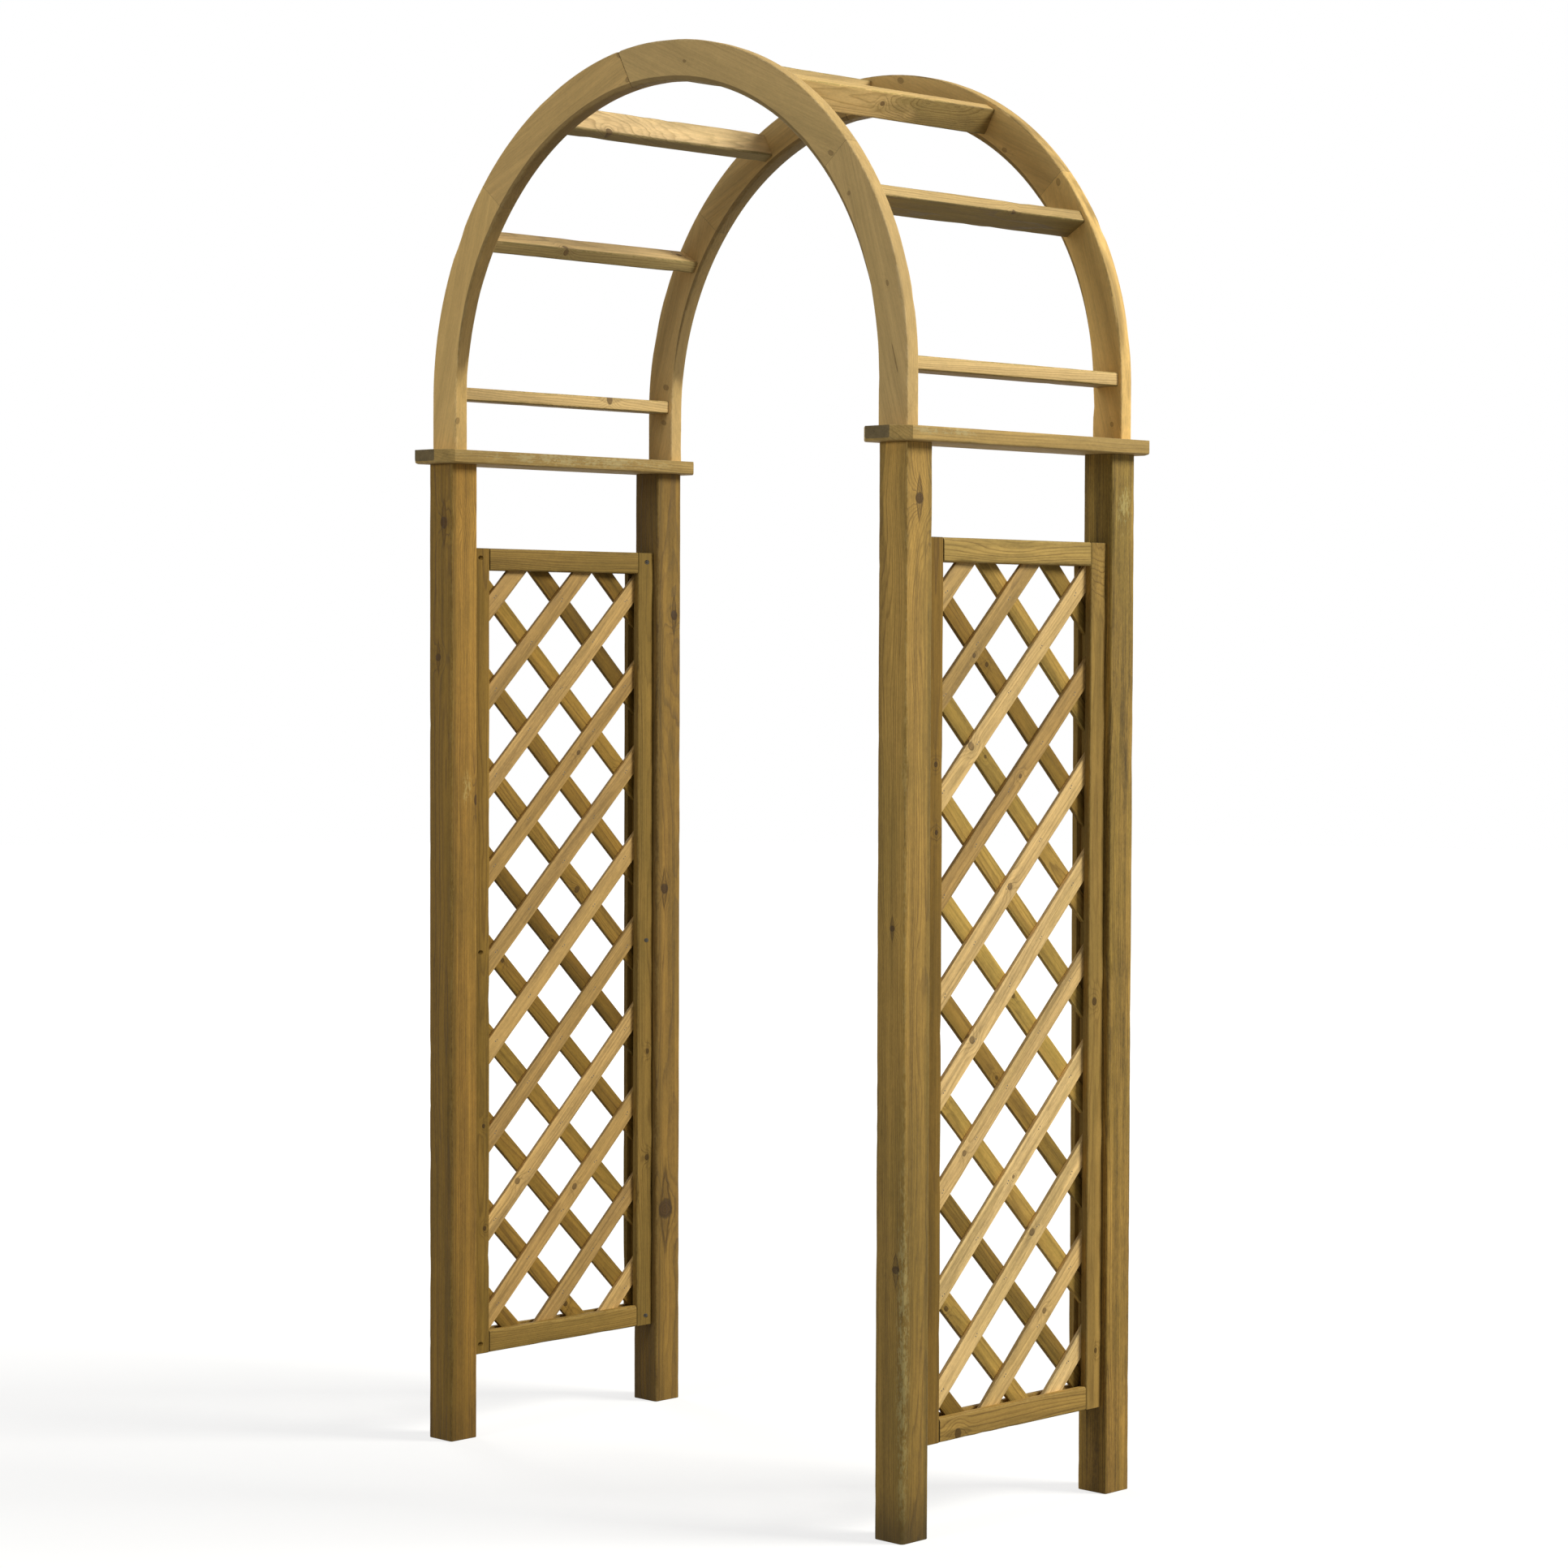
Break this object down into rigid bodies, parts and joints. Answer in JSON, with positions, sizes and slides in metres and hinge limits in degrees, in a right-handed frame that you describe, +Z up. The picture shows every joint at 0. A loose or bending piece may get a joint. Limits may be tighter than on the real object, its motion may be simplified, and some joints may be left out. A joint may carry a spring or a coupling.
{
  "type": "garden arch",
  "caption": "Round-topped wooden garden arch with lattice side panels, cap boards over square posts, and two jointed hoops tied by rungs for climbing plants.",
  "frame": {"origin": "on the ground, midway between the four posts", "axes": "+X across the walkway to the right as seen from the front, +Y through the arch from its front to its back, +Z up"},
  "size_m": [1.37, 0.734, 2.787],
  "materials": {
    "post_wood": "planed, pressure treated",
    "cap_wood": "planed, pressure treated",
    "hoop_wood": "planed, pressure treated",
    "rung_wood": "planed, pressure treated",
    "frame_wood": "planed, pressure treated",
    "rising_lath_wood": "planed, pressure treated",
    "falling_lath_wood": "planed, pressure treated",
    "screw_steel": "zinc plated",
    "dowel_wood": "turned, plain"
  },
  "bodies": {
    "root": {"post_front_left": "post_wood", "post_front_right": "post_wood", "post_back_left": "post_wood", "post_back_right": "post_wood", "cap_left": "cap_wood", "cap_right": "cap_wood", "front_hoop_leg_left": "hoop_wood", "front_hoop_top_left": "hoop_wood", "front_hoop_top_right": "hoop_wood", "front_hoop_leg_right": "hoop_wood", "back_hoop_leg_left": "hoop_wood", "back_hoop_top_left": "hoop_wood", "back_hoop_top_right": "hoop_wood", "back_hoop_leg_right": "hoop_wood", "rung_right_low": "rung_wood", "rung_right_mid": "rung_wood", "rung_right_high": "rung_wood", "rung_crown": "rung_wood", "rung_left_high": "rung_wood", "rung_left_mid": "rung_wood", "rung_left_low": "rung_wood", "stile_front_left": "frame_wood", "stile_back_left": "frame_wood", "stile_front_right": "frame_wood", "stile_back_right": "frame_wood", "rail_bottom_left": "frame_wood", "rail_top_left": "frame_wood", "rail_bottom_right": "frame_wood", "rail_top_right": "frame_wood", "laths_rising_left": "rising_lath_wood", "laths_falling_left": "falling_lath_wood", "laths_rising_right": "rising_lath_wood", "laths_falling_right": "falling_lath_wood", "cap_screws": "screw_steel", "hoop_screws": "screw_steel", "panel_screws": "screw_steel", "lap_screws": "screw_steel", "butt_dowels": "dowel_wood", "rung_dowels": "dowel_wood"}
  },
  "joints": []
}
